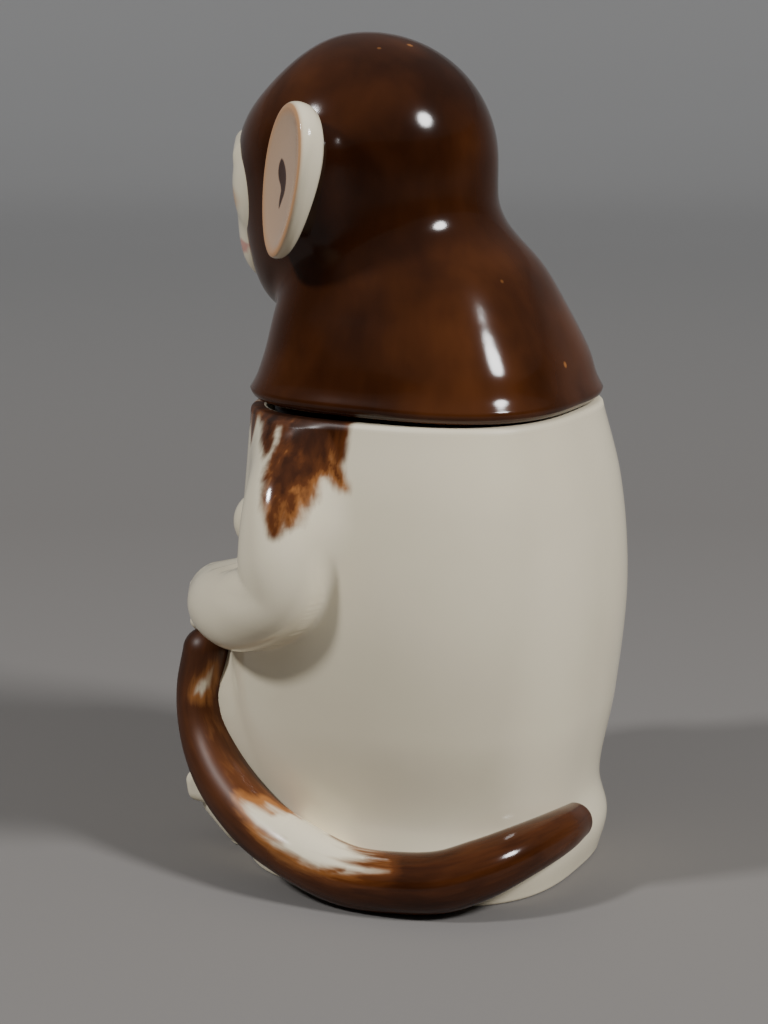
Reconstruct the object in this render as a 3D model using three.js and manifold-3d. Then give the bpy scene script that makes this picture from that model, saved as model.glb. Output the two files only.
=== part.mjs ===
// Figural tobacco jar: a seated monkey in glazed porcelain. The body is the jar, and the head and
// shoulders lift off as its lid. Millimetres, +Z up; the monkey faces -Y and its left side is +X.
import * as THREE from 'three';
import { mergeVertices } from 'three/addons/utils/BufferGeometryUtils.js';
import Module from 'manifold-3d';

// Cast walls and joints
const jarWall = 4.5;
const lidWall = 4;
const seam = 0.3; // gap that a luted piece keeps to the surface it sits on
const slipFit = 0.8; // play of the lid's collar in the mouth

// Jar body: at each height, how far it reaches behind and in front of its upright axis
const bodyWidthShare = 0.97; // half width over the reach behind
const bodySquareness = 2.8;
const rimHeight = 116;
const rimHalfDepth = 40.6;
const shoulderHeight = 96;
const shoulderBack = 45.4;
const shoulderFront = 41;
const bellyHeight = 70;
const bellyBack = 47.4;
const bellyFront = 43.6;
const hipHeight = 42;
const hipBack = 45.1;
const hipFront = 46.5;
const waistHeight = 19.5;
const waistBack = 41.6;
const waistFront = 44.5;
const seatHeight = 9;
const seatBack = 43.6;
const seatFront = 44;
const footHalfDepth = 41.6;
const footRingWidth = 7;
const footRingHeight = 1.6;
const floorThickness = 6;
const rimRounding = 1.2;

// Lid: a shoulder cape that seats on the rim, a collar below it and the head above it
const lidFrontGap = 1.5; // the lid's edge stands this much higher at the front than at the back
const capeHeight = 45;
const capeNeckHalfDepth = 22;
const capeNeckLean = 7;
const capeEdgeRounding = 2.2;
const capeShelf = 9; // width of the flat seat under the cape's edge
const capeShelfThickness = 4;
const collarDrop = 8;
const collarWall = 3;

// Head: a round crown over a jaw that leans forward
const headHalfDepth = 31.8;
const headWidthShare = 0.95;
const headRise = 30.4;
const headLift = 13.8; // its widest level above the top of the cape
const headForward = 16;
const jawDrop = 39.5;
const jawLean = 14.5;
const headMouthDrop = 25; // how far below its widest level the hollow opens into the cape

// Ears
const earHeight = 37;
const earWidth = 26;
const earProud = 2.6; // its rim in front of its widest level
const earBacking = 7.5; // its back behind that level
const earDish = 1.4;
const earStandoff = 4.8; // its widest level outside the widest part of the head
const earForward = 4.2; // forward of the middle of the head
const earDrop = 3.3; // its middle below the widest level of the head
const earTurn = 45; // degrees that an ear faces forward of straight sideways
const earLean = 0.22; // how far its top is back for each millimetre of height
const earTilt = 0.07; // how far its top is in towards the head for each millimetre of height

// Face
const faceHalfWidth = 22;
const faceHalfHeight = 21.5;
const faceProud = 12.4;
const faceInset = 10.8; // its middle behind the front of the head
const faceDrop = 3.8; // its middle below the widest level of the head
const eyeSpread = 9;
const eyeDrop = 0.8;
const eyeHollow = 5.5;
const muzzleHalfWidth = 13;
const muzzleHalfHeight = 11;
const muzzleProud = 8;
const muzzleInset = 6.2;
const muzzleDrop = 20.3;

// Arms, legs and tail
const upperArmRadius = 11.6;
const forearmRadius = 10.2;
const handRadius = 8.8;
const thighRadius = 11.5;
const shinRadius = 8.4;
const heelRadius = 7.6;
const toeRadius = 2.9;
const tailRadius = 7.4;
const tailTipRadius = 4.7;

// Faceting
const ringPoints = 32;
const limbPoints = 12;

// Places that follow from the sizes above
const capeTop = rimHeight + capeHeight;
const headHeight = capeTop + headLift;
const headFront = -headForward - headHalfDepth;

const wasm = await Module();
wasm.setup();

// A closed skin over rings of equal point counts, with a pole point at each end.
function skin(startPole, rings, endPole) {
  const count = rings[0].length;
  const points = [startPole, ...rings.flat(), endPole];
  const last = points.length - 1;
  const index = [];
  const at = (ring, k) => 1 + ring * count + (k % count);
  for (let k = 0; k < count; k++) {
    index.push(0, at(0, k + 1), at(0, k));
    index.push(last, at(rings.length - 1, k), at(rings.length - 1, k + 1));
    for (let ring = 0; ring < rings.length - 1; ring++) {
      index.push(at(ring, k), at(ring, k + 1), at(ring + 1, k));
      index.push(at(ring, k + 1), at(ring + 1, k + 1), at(ring + 1, k));
    }
  }
  const geometry = new THREE.BufferGeometry().setFromPoints(points);
  geometry.setIndex(index);
  return outward(geometry);
}

// Turns the faces round when the enclosed volume comes out negative.
function outward(geometry) {
  const position = geometry.getAttribute('position');
  const index = geometry.getIndex().array;
  const corner = [new THREE.Vector3(), new THREE.Vector3(), new THREE.Vector3()];
  let volume = 0;
  for (let i = 0; i < index.length; i += 3) {
    corner.forEach((c, k) => c.fromBufferAttribute(position, index[i + k]));
    volume += corner[0].dot(corner[1].clone().cross(corner[2]));
  }
  if (volume < 0) {
    for (let i = 0; i < index.length; i += 3) {
      [index[i + 1], index[i + 2]] = [index[i + 2], index[i + 1]];
    }
  }
  return geometry;
}

// An oval section, round at power 2 and squarer above it; level gives its height at each depth.
function oval(halfWidth, halfDepth, centre, level, power) {
  const ring = [];
  for (let k = 0; k < ringPoints; k++) {
    const angle = (k / ringPoints) * Math.PI * 2;
    const x = halfWidth * Math.sign(Math.cos(angle)) * Math.abs(Math.cos(angle)) ** (2 / power);
    const y = centre + halfDepth * Math.sign(Math.sin(angle)) * Math.abs(Math.sin(angle)) ** (2 / power);
    ring.push(new THREE.Vector3(x, y, level(y)));
  }
  return ring;
}

const flat = (height) => () => height;

function solidOf(geometry) {
  const bare = new THREE.BufferGeometry().setAttribute('position', geometry.getAttribute('position'));
  bare.setIndex(geometry.getIndex());
  const merged = mergeVertices(bare, 1e-4);
  const mesh = new wasm.Mesh({
    numProp: 3,
    vertProperties: new Float32Array(merged.getAttribute('position').array),
    triVerts: new Uint32Array(merged.getIndex().array),
  });
  return new wasm.Manifold(mesh);
}

function geometryOf(solid) {
  const mesh = solid.getMesh();
  const geometry = new THREE.BufferGeometry();
  geometry.setAttribute('position', new THREE.BufferAttribute(mesh.vertProperties, 3));
  geometry.setIndex(new THREE.BufferAttribute(mesh.triVerts, 1));
  return geometry;
}

// Jar body

// The outline runs up from the foot to the rim; each point is back reach, front reach and height.
const bodyOutline = new THREE.CatmullRomCurve3([
  new THREE.Vector3(footHalfDepth, footHalfDepth, 0),
  new THREE.Vector3(seatBack, seatFront, seatHeight),
  new THREE.Vector3(waistBack, waistFront, waistHeight),
  new THREE.Vector3(hipBack, hipFront, hipHeight),
  new THREE.Vector3(bellyBack, bellyFront, bellyHeight),
  new THREE.Vector3(shoulderBack, shoulderFront, shoulderHeight),
  new THREE.Vector3(rimHalfDepth, rimHalfDepth, rimHeight),
]);

function bodyRing(back, front, height, offset) {
  const ring = oval(back * bodyWidthShare + offset, back + offset, 0, flat(height), bodySquareness);
  const shorten = (front + offset) / (back + offset);
  for (const point of ring) point.y *= point.y < 0 ? shorten : 1;
  return ring;
}

function evenRing(halfDepth, height) {
  return bodyRing(halfDepth, halfDepth, height, 0);
}

function bodyRings(steps, offset, lowest, highest) {
  const rings = [];
  for (let k = 0; k <= steps; k++) {
    const point = bodyOutline.getPoint(k / steps);
    if (point.z >= lowest && point.z <= highest) rings.push(bodyRing(point.x, point.y, point.z, offset));
  }
  return rings;
}

function jarBody() {
  const recess = footHalfDepth - footRingWidth;
  const rings = [
    evenRing(recess - 1, footRingHeight),
    evenRing(recess, 0),
    evenRing(footHalfDepth - 1, 0),
    ...bodyRings(18, 0, 1, rimHeight - rimRounding - 0.5),
    evenRing(rimHalfDepth, rimHeight - rimRounding),
    evenRing(rimHalfDepth - rimRounding, rimHeight),
    evenRing(rimHalfDepth - jarWall, rimHeight),
    ...bodyRings(10, -jarWall, floorThickness + 6, rimHeight - 4).reverse(),
    evenRing(footHalfDepth - jarWall - 2, floorThickness + 2),
    evenRing(footHalfDepth - jarWall - 6, floorThickness),
  ];
  return skin(new THREE.Vector3(0, 0, footRingHeight), rings, new THREE.Vector3(0, 0, floorThickness));
}

// The jar's outside as one full block, grown by the seam, which shapes the backs of luted pieces.
function bodyBlock() {
  const rings = bodyRings(18, seam, -1, rimHeight + 1);
  const low = new THREE.Vector3(0, 0, 0);
  const high = new THREE.Vector3(0, 0, rimHeight);
  return solidOf(skin(low, rings, high));
}

// A place round the body: its bearing in degrees from the left side, where the back is 90 and the
// front is -90, its height, and how far it lies outside the body's surface there.
function around(bearing, height, out) {
  const angle = THREE.MathUtils.degToRad(bearing);
  const reach = reachAt(height);
  const depth = Math.sin(angle) > 0 ? reach.x : reach.y;
  const across = Math.abs(Math.cos(angle) / (reach.x * bodyWidthShare)) ** bodySquareness;
  const along = Math.abs(Math.sin(angle) / depth) ** bodySquareness;
  const radius = (across + along) ** (-1 / bodySquareness) + out;
  return [radius * Math.cos(angle), radius * Math.sin(angle), height];
}

// The outline's reach at a height, read between the two nearest of its points.
function reachAt(height) {
  const points = bodyOutline.getPoints(80);
  const above = points.findIndex((point, k) => k > 0 && point.z >= height);
  const [low, high] = above > 0 ? [points[above - 1], points[above]] : points.slice(-2);
  return low.clone().lerp(high, (height - low.z) / (high.z - low.z));
}

// Lid

const seatSlope = lidFrontGap / (2 * rimHalfDepth);
const seatLevel = (y) => rimHeight + seam + seatSlope * (rimHalfDepth - y);

// Each station is a share of the cape's height, its half depth, its lean and its squareness.
const capeStations = [
  { share: 0.05, halfDepth: rimHalfDepth + 0.1, lean: 0 },
  { share: 0.26, halfDepth: rimHalfDepth - 1.7, lean: 0 },
  { share: 0.5, halfDepth: rimHalfDepth - 5.9, lean: capeNeckLean * 0.23 },
  { share: 0.77, halfDepth: (rimHalfDepth + capeNeckHalfDepth) / 2 - 1.4, lean: capeNeckLean * 0.54 },
  { share: 1, halfDepth: capeNeckHalfDepth, lean: capeNeckLean },
];
const capeOutline = new THREE.CatmullRomCurve3(
  capeStations.map((s) => new THREE.Vector3(s.halfDepth, s.lean, s.share)),
);

function capeRing(along, offset) {
  const point = capeOutline.getPoint(along);
  const level = (y) => seatLevel(y) * (1 - point.z) + capeTop * point.z;
  const power = THREE.MathUtils.lerp(bodySquareness, 2.1, along);
  return oval(point.x * bodyWidthShare + offset, point.x + offset, -point.y, level, power);
}

function capeEdge(inset, raise) {
  const depth = rimHalfDepth - inset;
  const width = rimHalfDepth * bodyWidthShare - inset;
  return oval(width, depth, 0, (y) => seatLevel(y) + raise, bodySquareness);
}

function capeRings(steps, offset, first) {
  const rings = [];
  for (let k = first; k <= steps; k++) rings.push(capeRing(k / steps, offset));
  return rings;
}

function cape() {
  const rings = [
    capeEdge(capeShelf - 0.6, 0),
    capeEdge(capeEdgeRounding * 0.8, 0),
    capeEdge(capeEdgeRounding * 0.25, capeEdgeRounding * 0.3),
    ...capeRings(11, 0, 0),
    ...capeRings(8, -lidWall, 1).reverse(),
    capeEdge(capeShelf, capeShelfThickness),
  ];
  return ringSkin(rings);
}

// A skin whose last ring joins its first, for a piece that is open top and bottom.
function ringSkin(rings) {
  const count = rings[0].length;
  const index = [];
  const at = (ring, k) => (ring % rings.length) * count + (k % count);
  for (let ring = 0; ring < rings.length; ring++) {
    for (let k = 0; k < count; k++) {
      index.push(at(ring, k), at(ring, k + 1), at(ring + 1, k));
      index.push(at(ring, k + 1), at(ring + 1, k + 1), at(ring + 1, k));
    }
  }
  const geometry = new THREE.BufferGeometry().setFromPoints(rings.flat());
  geometry.setIndex(index);
  return outward(geometry);
}

function capeBlock() {
  const rings = [capeEdge(-seam, -seam), ...capeRings(11, seam, 0)];
  for (const point of rings.at(-1)) point.z += seam;
  const low = new THREE.Vector3(0, 0, seatLevel(0) - seam);
  const high = new THREE.Vector3(0, -capeNeckLean, capeTop + seam);
  return solidOf(skin(low, rings, high));
}

function collar() {
  const outside = rimHalfDepth - jarWall - slipFit;
  const inside = outside - collarWall;
  const width = (depth) => depth - rimHalfDepth * (1 - bodyWidthShare);
  const low = flat(rimHeight - collarDrop);
  const high = (y) => seatLevel(y) - seam;
  return ringSkin([
    oval(width(outside - 0.8), outside - 0.8, 0, low, bodySquareness),
    oval(width(outside), outside, 0, flat(rimHeight - collarDrop + 1.5), bodySquareness),
    oval(width(outside), outside, 0, high, bodySquareness),
    oval(width(inside), inside, 0, high, bodySquareness),
    oval(width(inside), inside, 0, low, bodySquareness),
  ]);
}

// Head

// Above its widest level the head is a ball; below it a longer half egg whose middle leans forward.
function headRing(turn, offset) {
  const drop = Math.sin(turn);
  const reach = drop < 0 ? headRise : jawDrop;
  const lean = drop > 0 ? jawLean * drop ** 2.5 : 0;
  const depth = (headHalfDepth + offset) * Math.cos(turn);
  const height = headHeight - (reach + offset) * drop;
  return oval(depth * headWidthShare, depth, -headForward - lean, flat(height), 2);
}

function headRings(steps, offset, lowest) {
  const rings = [];
  for (let k = 1; k < steps; k++) {
    const turn = -Math.PI / 2 + (Math.PI * k) / steps;
    if (headHeight - Math.sin(turn) * jawDrop > lowest) rings.push(headRing(turn, offset));
  }
  return rings;
}

function headShell() {
  const crown = new THREE.Vector3(0, -headForward, headHeight + headRise);
  const hollow = new THREE.Vector3(0, -headForward, headHeight + headRise - lidWall);
  const outside = headRings(16, 0, headHeight - jawDrop);
  const inside = headRings(9, -lidWall, headHeight - headMouthDrop).reverse();
  return skin(crown, [...outside, ...inside], hollow);
}

function headBlock() {
  const crown = new THREE.Vector3(0, -headForward, headHeight + headRise + seam);
  const chin = new THREE.Vector3(0, -headForward - jawLean, headHeight - jawDrop - seam);
  return solidOf(skin(crown, headRings(16, seam, headHeight - jawDrop - 1), chin));
}

// Ears: a thick leaf, narrower below, dished on the side that faces forward and out.
function ear(side) {
  const turn = THREE.MathUtils.degToRad(earTurn);
  const facing = new THREE.Vector3(side * Math.cos(turn), -Math.sin(turn), 0);
  const across = new THREE.Vector3(side * Math.sin(turn), Math.cos(turn), 0);
  const out = headHalfDepth * headWidthShare + earStandoff;
  const middle = new THREE.Vector3(side * out, -headForward - earForward, headHeight - earDrop);
  const levels = [
    { scale: 0.5, ahead: -0.98 * earBacking },
    { scale: 0.82, ahead: -0.8 * earBacking },
    { scale: 0.96, ahead: -0.4 * earBacking },
    { scale: 1, ahead: 0.2 * earProud },
    { scale: 0.98, ahead: 0.75 * earProud },
    { scale: 0.93, ahead: earProud },
    { scale: 0.84, ahead: earProud - 0.3 * earDish },
    { scale: 0.5, ahead: earProud - 0.95 * earDish },
  ];
  const place = (u, v, ahead) => middle.clone()
    .addScaledVector(across, u + earLean * v)
    .addScaledVector(facing, ahead - earTilt * v)
    .add(new THREE.Vector3(0, 0, v));
  const rings = levels.map(({ scale, ahead }) => {
    const ring = [];
    for (let k = 0; k < 24; k++) {
      const angle = (k / 24) * Math.PI * 2;
      const taper = 1 + 0.14 * Math.sin(angle);
      const u = scale * (earWidth / 2) * Math.cos(angle) * taper;
      ring.push(place(u, scale * (earHeight / 2) * Math.sin(angle), ahead));
    }
    return ring;
  });
  const back = place(0, 0, -earBacking);
  const dish = place(0, 0, earProud - earDish);
  return solidOf(skin(back, rings, dish));
}

function egg(halfWidth, halfDepth, halfHeight, x, y, z, segments = 20) {
  const geometry = new THREE.SphereGeometry(1, segments, Math.round(segments * 0.6));
  geometry.scale(halfWidth, halfDepth, halfHeight);
  geometry.translate(x, y, z);
  return solidOf(geometry);
}

function muzzle() {
  const middle = headFront + muzzleInset;
  const level = headHeight - muzzleDrop;
  return egg(muzzleHalfWidth, muzzleProud, muzzleHalfHeight, 0, middle, level);
}

function faceEgg(grow) {
  const middle = headFront + faceInset;
  const level = headHeight - faceDrop;
  return egg(faceHalfWidth + grow, faceProud + grow, faceHalfHeight + grow, 0, middle, level);
}

function face() {
  const front = headFront + faceInset - faceProud * 0.93;
  const level = headHeight - eyeDrop;
  const hollows = [-1, 1].map((side) => (
    egg(eyeHollow, eyeHollow * 0.45, eyeHollow * 0.8, side * eyeSpread, front, level, 14)
  ));
  return faceEgg(0).subtract(hollows[0]).subtract(hollows[1]);
}

// A tapered limb: round sections along a smooth path, closed by a dome at each end.
function limb(stations, steps, grow = 0, points = limbPoints) {
  const path = new THREE.CatmullRomCurve3(stations.map((s) => new THREE.Vector3(...s.at)));
  const girth = new THREE.CatmullRomCurve3(
    stations.map((s, k) => new THREE.Vector3(k, s.radius + grow, 0)),
    false,
    'catmullrom',
  );
  const frames = path.computeFrenetFrames(steps, false);
  const ringAt = (k, shift, share) => {
    const t = path.getUtoTmapping(k / steps);
    const radius = girth.getPoint(t).y;
    const centre = path.getPoint(t).addScaledVector(frames.tangents[k], shift * radius);
    const ring = [];
    for (let p = 0; p < points; p++) {
      const angle = (p / points) * Math.PI * 2;
      ring.push(centre.clone()
        .addScaledVector(frames.normals[k], Math.cos(angle) * radius * share)
        .addScaledVector(frames.binormals[k], Math.sin(angle) * radius * share));
    }
    return ring;
  };
  const domeTurns = [0.35, 0.7].map((turn) => turn * Math.PI / 2);
  const rings = [];
  for (const turn of domeTurns) rings.push(ringAt(0, -Math.cos(turn), Math.sin(turn)));
  for (let k = 0; k <= steps; k++) rings.push(ringAt(k, 0, 1));
  for (const turn of [...domeTurns].reverse()) {
    rings.push(ringAt(steps, Math.cos(turn), Math.sin(turn)));
  }
  const pole = (k, shift) => {
    const t = path.getUtoTmapping(k / steps);
    return path.getPoint(t).addScaledVector(frames.tangents[k], shift * girth.getPoint(t).y);
  };
  return solidOf(skin(pole(0, -1), rings, pole(steps, 1)));
}

const mirrored = (at, side) => [at[0] * side, at[1], at[2]];

// The tail lies round the left side of the seat, on the ground, and rises to the left hand.
function tail(grow) {
  const r = tailRadius;
  return limb([
    { at: around(83, r * 1.96, 0), radius: tailTipRadius },
    { at: around(69, r * 2.03, r * 0.16), radius: r * 0.74 },
    { at: around(53, r * 1.89, r * 0.3), radius: r * 0.86 },
    { at: around(40, r * 1.53, r * 0.41), radius: r * 0.97 },
    { at: around(29, r * 1.15, r * 0.49), radius: r },
    { at: around(16, r * 1.01, r * 0.57), radius: r },
    { at: around(1, r * 1.01, r * 0.61), radius: r },
    { at: around(-14, r * 1.51, r * 0.68), radius: r },
    { at: around(-30.5, hipHeight * 0.38, r * 0.74), radius: r * 0.98 },
    { at: around(-46, hipHeight * 0.583, r * 0.89), radius: r * 0.95 },
    { at: around(-54.5, hipHeight * 0.798, r * 0.95), radius: r * 0.93 },
    { at: around(-57.5, bellyHeight * 0.622, r * 0.95), radius: r * 0.89 },
    { at: around(-57, bellyHeight * 0.77, r * 0.86), radius: r * 0.78 },
  ], 36, grow);
}

// Four fingers that curl from the back of the hand round its far side.
function fingers(hand, heading, reach, droop, grow) {
  const radius = handRadius * 0.29;
  const [ahead, aside] = [Math.cos(heading), Math.sin(heading)];
  return [-1.5, -0.5, 0.5, 1.5].map((row) => {
    const height = hand[2] + row * radius * 1.75;
    const at = (far, out) => [
      hand[0] + far * ahead - out * aside,
      hand[1] + far * aside + out * ahead,
      height - droop * far / reach,
    ];
    return limb([
      { at: at(0, 0), radius },
      { at: at(reach * 0.8, reach * 0.25), radius },
      { at: at(reach * 1.25, reach * 0.85), radius: radius * 0.85 },
    ], 3, grow, 7);
  });
}

// The elbow's place on the left side
function elbowAt() {
  return around(-19, bellyHeight * 1.075, upperArmRadius * 0.17);
}

function upperArm(side, grow) {
  const r = upperArmRadius;
  return limb([
    { at: mirrored(around(-28, rimHeight * 0.905, -r * 0.43), side), radius: r * 0.72 },
    { at: mirrored(around(-22, shoulderHeight, -r * 0.04), side), radius: r * 0.92 },
    { at: mirrored(around(-18.5, bellyHeight * 1.2, r * 0.17), side), radius: r },
    { at: mirrored(elbowAt(), side), radius: r * 0.93 },
  ], 7, grow);
}

function leftArm(grow) {
  const r = forearmRadius;
  const hand = around(-50.5, bellyHeight * 0.985, r * 0.3);
  const forearm = limb([
    { at: elbowAt(), radius: upperArmRadius * 0.93 },
    { at: around(-30, bellyHeight, r * 0.37), radius: r * 1.04 },
    { at: around(-41, bellyHeight * 0.985, r * 0.34), radius: r * 0.96 },
    { at: hand, radius: handRadius },
  ], 6, grow);
  const arm = upperArm(1, grow).add(forearm);
  const lines = fingers(hand, Math.PI * 1.22, handRadius * 0.68, handRadius * 0.36, grow);
  return lines.reduce((a, b) => a.add(b), arm);
}

function rightArm() {
  const r = forearmRadius;
  const hand = around(-90, bellyHeight * 1.157, r * 0.39);
  const forearm = limb([
    { at: mirrored(elbowAt(), -1), radius: upperArmRadius * 0.93 },
    { at: mirrored(around(-36, bellyHeight * 1.06, r * 0.39), -1), radius: r },
    { at: mirrored(around(-62, bellyHeight * 1.114, r * 0.39), -1), radius: r * 0.9 },
    { at: hand, radius: handRadius * 0.92 },
  ], 7);
  const arm = upperArm(-1, 0).add(forearm);
  return fingers(hand, -0.25, handRadius * 0.57, 0, 0).reduce((a, b) => a.add(b), arm);
}

function leg(side, grow) {
  const r = thighRadius;
  const knee = mirrored(around(-68, hipHeight * 1.19, r * 0.2), side);
  const thigh = limb([
    { at: mirrored(around(-54, hipHeight * 0.57, -r * 0.7), side), radius: r },
    { at: mirrored(around(-62, hipHeight, -r * 0.24), side), radius: r },
    { at: knee, radius: r * 0.84 },
  ], 6, grow);
  const shin = limb([
    { at: knee, radius: r * 0.84 },
    { at: mirrored(around(-70, hipHeight * 0.9, r * 0.33), side), radius: shinRadius },
    { at: mirrored(around(-70, hipHeight * 0.38, r * 0.17), side), radius: shinRadius * 0.9 },
  ], 6, grow);
  return thigh.add(shin);
}

// The heel rests on the ground and the toes are raised.
function foot(side) {
  const heel = mirrored(around(-68, heelRadius * 0.93, heelRadius * 0.07), side);
  const ball = mirrored(around(-74, heelRadius * 1.38, heelRadius), side);
  const sole = limb([
    { at: heel, radius: heelRadius },
    { at: ball, radius: heelRadius * 0.84 },
  ], 5);
  const toes = [-1.5, -0.5, 0.5, 1.5].map((place) => egg(
    toeRadius,
    toeRadius * 1.3,
    toeRadius * 1.5,
    ball[0] + place * toeRadius * 1.25,
    ball[1] - heelRadius * (0.72 - 0.06 * Math.abs(place)),
    ball[2] + toeRadius * 1.3,
    10,
  ));
  return toes.reduce((a, b) => a.add(b), sole).subtract(ground());
}

// Everything below the surface that the jar stands on
function ground() {
  const reach = rimHeight * 4;
  const slab = new THREE.BoxGeometry(reach, reach, rimHeight);
  slab.translate(0, 0, -rimHeight / 2);
  return solidOf(slab);
}

// Glazes
const white = new THREE.MeshStandardMaterial({ color: '#e6e5df', roughness: 0.12, metalness: 0 });
const brown = new THREE.MeshStandardMaterial({ color: '#43200f', roughness: 0.1, metalness: 0 });
const flesh = new THREE.MeshStandardMaterial({ color: '#e9c9b4', roughness: 0.14, metalness: 0 });

const jar = new THREE.Group();
const lid = new THREE.Group();

function place(parent, name, geometry, material) {
  const mesh = new THREE.Mesh(geometry, material);
  mesh.name = name;
  parent.add(mesh);
}

const body = bodyBlock();
const earth = ground();
const tailSolid = tail(0).subtract(body).subtract(earth);
const tailSpace = tail(seam);
const leftArmSpace = leftArm(seam);
place(jar, 'jar_body', jarBody(), white);
place(jar, 'tail', geometryOf(tailSolid), brown);
place(jar, 'left_arm', geometryOf(leftArm(0).subtract(body).subtract(tailSpace)), white);
place(jar, 'right_arm', geometryOf(rightArm().subtract(body)), white);
for (const [name, side] of [['left', 1], ['right', -1]]) {
  const legSolid = leg(side, 0).subtract(body).subtract(tailSpace).subtract(leftArmSpace);
  const footSolid = foot(side).subtract(body).subtract(tailSpace).subtract(leg(side, seam));
  place(jar, `${name}_leg`, geometryOf(legSolid), white);
  place(jar, `${name}_foot`, geometryOf(footSolid), white);
}

const capeSpace = capeBlock();
const headSpace = headBlock();
place(lid, 'lid_cape', cape(), brown);
place(lid, 'lid_collar', collar(), white);
place(lid, 'head', geometryOf(solidOf(headShell()).subtract(capeSpace)), brown);
place(lid, 'face', geometryOf(face().subtract(headSpace).subtract(capeSpace)), white);
const faceSpace = faceEgg(seam);
const muzzleSolid = muzzle().subtract(faceSpace).subtract(headSpace).subtract(capeSpace);
place(lid, 'muzzle', geometryOf(muzzleSolid), white);
place(lid, 'left_ear', geometryOf(ear(1).subtract(headSpace).subtract(faceSpace)), flesh);
place(lid, 'right_ear', geometryOf(ear(-1).subtract(headSpace).subtract(faceSpace)), flesh);

// The frame's origin is on the ground under the middle of the whole piece.
const standing = new THREE.Group();
standing.add(jar, lid);
const middle = new THREE.Box3().setFromObject(standing).getCenter(new THREE.Vector3());
standing.position.set(-middle.x, -middle.y, 0);

const tobaccoJar = new THREE.Group();
tobaccoJar.add(standing);

export default tobaccoJar;
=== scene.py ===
import bpy
import math
import numpy as np
from mathutils import Matrix, Vector


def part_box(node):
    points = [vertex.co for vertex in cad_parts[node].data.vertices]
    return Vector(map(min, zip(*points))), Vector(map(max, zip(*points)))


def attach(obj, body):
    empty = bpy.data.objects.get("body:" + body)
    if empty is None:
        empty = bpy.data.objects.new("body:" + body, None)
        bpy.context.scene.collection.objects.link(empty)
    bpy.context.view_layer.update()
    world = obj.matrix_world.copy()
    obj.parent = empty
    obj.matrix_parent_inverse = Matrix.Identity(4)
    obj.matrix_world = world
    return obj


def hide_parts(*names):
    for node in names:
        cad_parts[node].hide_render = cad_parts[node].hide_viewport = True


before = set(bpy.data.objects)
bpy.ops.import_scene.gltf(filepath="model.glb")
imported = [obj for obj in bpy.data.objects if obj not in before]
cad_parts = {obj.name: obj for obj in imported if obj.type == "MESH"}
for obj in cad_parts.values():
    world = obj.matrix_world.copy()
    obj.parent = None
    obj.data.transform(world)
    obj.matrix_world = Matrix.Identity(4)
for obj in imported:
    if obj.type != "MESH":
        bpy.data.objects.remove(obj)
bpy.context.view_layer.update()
coarser = 1

# The jar and its lid are worked out in millimetres about their upright axis, which stands
# axisDepth behind the frame's origin.
body = {
    "backReach": 47.4,
    "widthShare": 0.97,
    "squareness": 2.8,
    "rimHeight": 116.0,
    "rimHalfDepth": 40.6,
    "rimRounding": 1.2,
    # where the wiped edge starts and is full, below the rim
    "wiped": (2.2, 0.7),
    "wipedRoughness": 0.5,
    "furThinning": 0.3,
    "furDarker": 0.05,
    "speckStrength": 0.55,
    # distances at which the ink between fingers and toes is gone and full
    "inkEdge": (0.75, 0.25),
    "inkStrength": 0.85,
    "wall": 4.5,
    "footHalfDepth": 41.6,
    "footRingWidth": 7.0,
    "footRingHeight": 1.6,
    # distance out and down of the rows round the ring's inner edge
    "footRingRows": [(-1.0, 0), (-0.2, 0.4), (0.3, 1.4), (0.9, 1.6)],
    "floorHeight": 6.0,
    "floorFillet": 6.0,
    "innerStart": 4.0,
    "innerRows": 18,
    # reach behind, reach in front and height, from the foot to the rim
    "outline": [
        (41.6, 41.6, 0), (43.6, 44, 9), (41.6, 44.5, 19.5), (45.1, 46.5, 42),
        (47.4, 43.6, 70), (45.4, 41, 96), (40.6, 40.6, 116),
    ],
    # bearings that the closer columns over the front lie between, and how many there are
    "frontSpan": (-187, 7),
    "frontColumns": 300,
    "backColumns": 100,
    # limbs stand out in front of this sine of the bearing, and by less than this
    "limbedBelow": 0.25,
    "limbsOut": 30,
    # levels from which the skin's rows lie so far apart
    "rows": [(1.0, 0.72), (59.0, 0.36), (75.0, 0.69)],
}
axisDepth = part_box("jar_body")[1].y * 1000 - body["backReach"]


def toMetres(points):
    # Millimetres about the jar's axis to metres in the frame: (x, y + axis depth, z) / 1000
    return (np.asarray(points, float) + (0, axisDepth, 0)) / 1000


def smoothPath(points, count):
    # Centripetal Catmull-Rom curve through rows of numbers; the first three columns set its pace
    p = np.asarray(points, float)
    full = np.vstack([2 * p[0] - p[1], p, 2 * p[-1] - p[-2]])
    where = np.linspace(0, len(p) - 1, count)
    i = np.minimum(where.astype(int), len(p) - 2)
    w = (where - i)[:, None]
    q0, q1, q2, q3 = full[i], full[i + 1], full[i + 2], full[i + 3]
    d0, d1, d2 = (
        np.sqrt(np.maximum(np.linalg.norm((b - a)[:, :3], axis=1), 1e-4))[:, None]
        for a, b in ((q0, q1), (q1, q2), (q2, q3))
    )
    m1 = ((q1 - q0) / d0 - (q2 - q0) / (d0 + d1) + (q2 - q1) / d1) * d1
    m2 = ((q2 - q1) / d1 - (q3 - q1) / (d1 + d2) + (q3 - q2) / d2) * d1
    return (
        (2 * w**3 - 3 * w**2 + 1) * q1 + (w**3 - 2 * w**2 + w) * m1
        + (3 * w**2 - 2 * w**3) * q2 + (w**3 - w**2) * m2
    )


def evenPath(points, count):
    # The same curve with its points at even spacing along its length
    fine = smoothPath(points, count * 8)
    steps = np.linalg.norm(np.diff(fine[:, :3], axis=0), axis=1)
    run = np.concatenate([[0], np.cumsum(steps)])
    even = np.linspace(0, run[-1], count)
    return np.stack([np.interp(even, run, column) for column in fine.T], 1), even


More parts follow.
